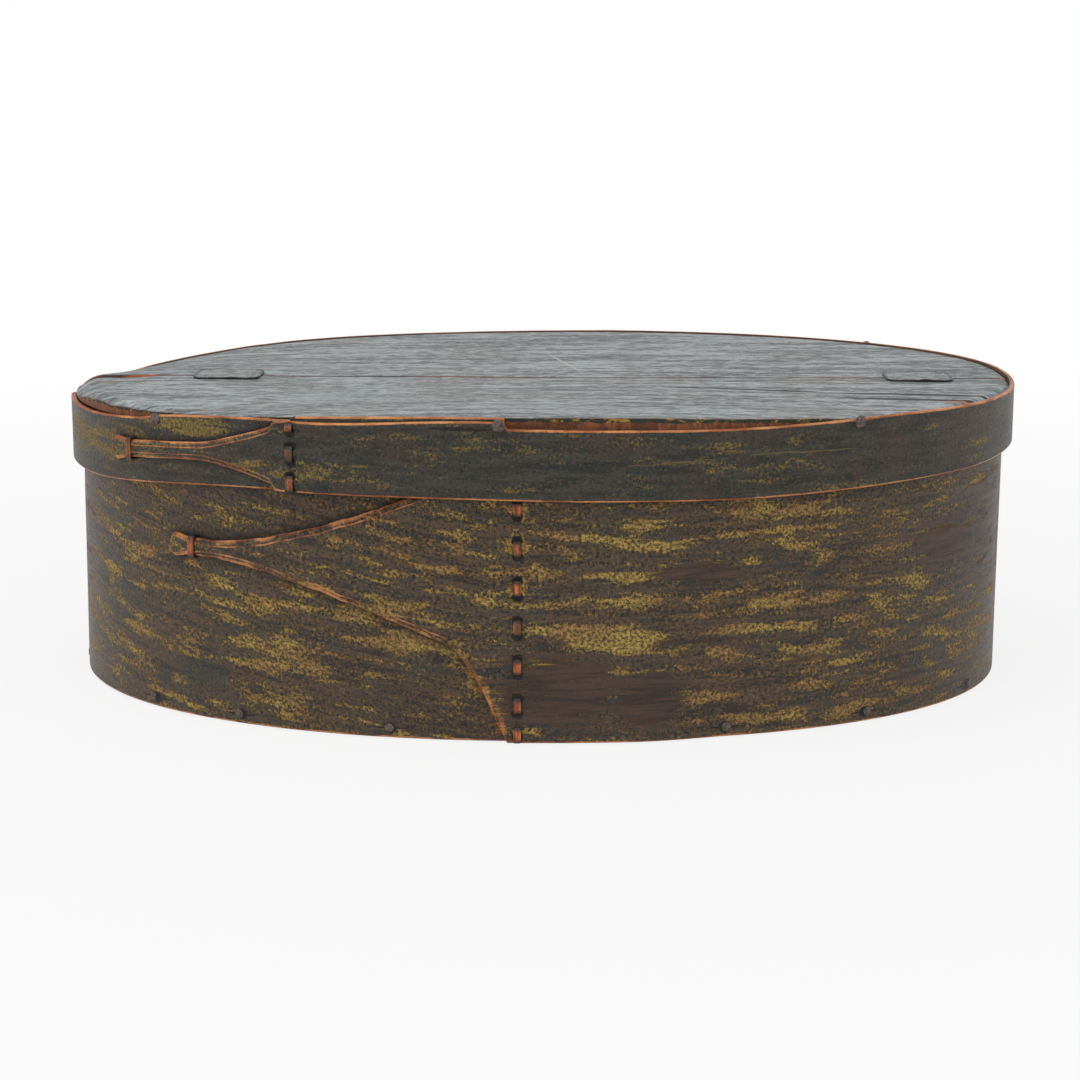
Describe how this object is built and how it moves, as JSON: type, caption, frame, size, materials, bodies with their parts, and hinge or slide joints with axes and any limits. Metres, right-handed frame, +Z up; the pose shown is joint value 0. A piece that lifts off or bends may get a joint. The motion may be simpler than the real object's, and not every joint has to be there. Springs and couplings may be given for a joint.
{
  "type": "oval bentwood box",
  "caption": "Oval bentwood box with a lift-off lid, lapped and laced strips, nailed boards and mending plates over the split in the lid.",
  "frame": {"origin": "middle of the underside of the bottom board, on the surface that the box stands on", "axes": "+X along the length to the right end seen from the seam side, front with both seams at -Y, +Z up out of the lid"},
  "size_m": [0.47, 0.3281, 0.1517],
  "materials": {
    "old_paint": "worn ochre and dark brown paint",
    "dark_paint": "worn green-black paint",
    "lid_paint": "weathered blue-grey paint",
    "bare_wood": "aged bare wood",
    "splint": "aged split root",
    "old_iron": "rusted",
    "sheet_metal": "dull grey, tarnished"
  },
  "bodies": {
    "box": {"body_band": "old_paint", "body_seam_lacing": "splint", "body_finger_loop": "splint", "bottom_board": "bare_wood", "bottom_nails": "old_iron"},
    "lid": {"lid_rim": "dark_paint", "rim_seam_lacing": "splint", "rim_finger_loop": "splint", "lid_board_front": "lid_paint", "lid_board_back": "lid_paint", "rim_nails": "old_iron", "mending_plate_left": "sheet_metal", "mending_plate_right": "sheet_metal", "plate_tacks": "old_iron"}
  },
  "joints": [
    {"name": "lid_lift", "type": "slide", "parent": "box", "child": "lid", "axis": [0, 0, 1], "range_m": [0, 0.16]}
  ]
}
